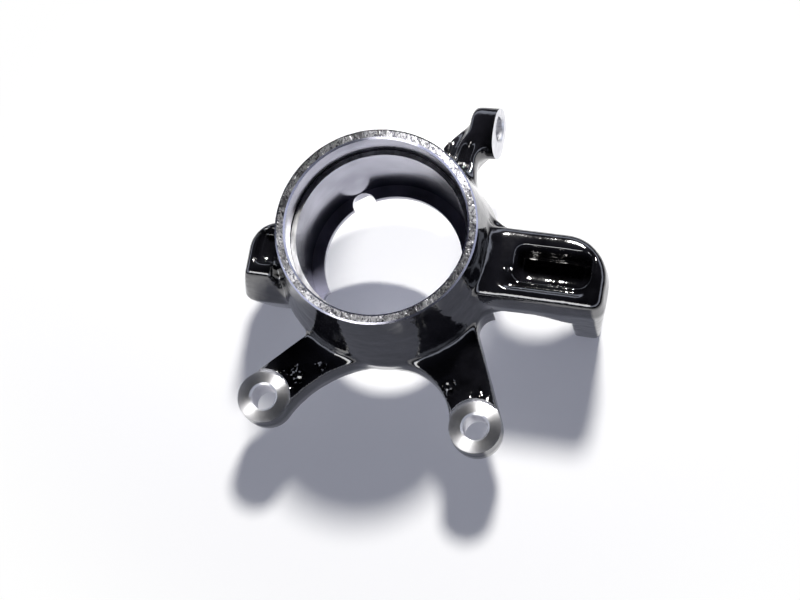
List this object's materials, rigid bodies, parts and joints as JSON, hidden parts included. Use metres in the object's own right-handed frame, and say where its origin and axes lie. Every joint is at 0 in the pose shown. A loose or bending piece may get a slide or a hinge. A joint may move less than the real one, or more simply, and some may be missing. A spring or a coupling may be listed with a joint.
{
  "type": "steering knuckle",
  "caption": "Cast steering knuckle: flared bearing ring with a stepped bore, brake caliper arms with round lugs, a ribbed ball-joint arm, a ball-joint boss and a curved tie-rod arm.",
  "frame": {"origin": "middle of the wheel bearing's seat, on the hub axis", "axes": "+Z along the hub axis and outboard, out of the bore's wide mouth; +X towards the lower ball-joint arm; +Y towards the tie-rod arm's side, away from the brake caliper lugs"},
  "size_m": [0.1638, 0.1563, 0.084],
  "materials": {
    "casting": "gloss black paint on the cast walls, bare turned and milled faces"
  },
  "bodies": {
    "root": {"knuckle": "casting"}
  },
  "joints": []
}
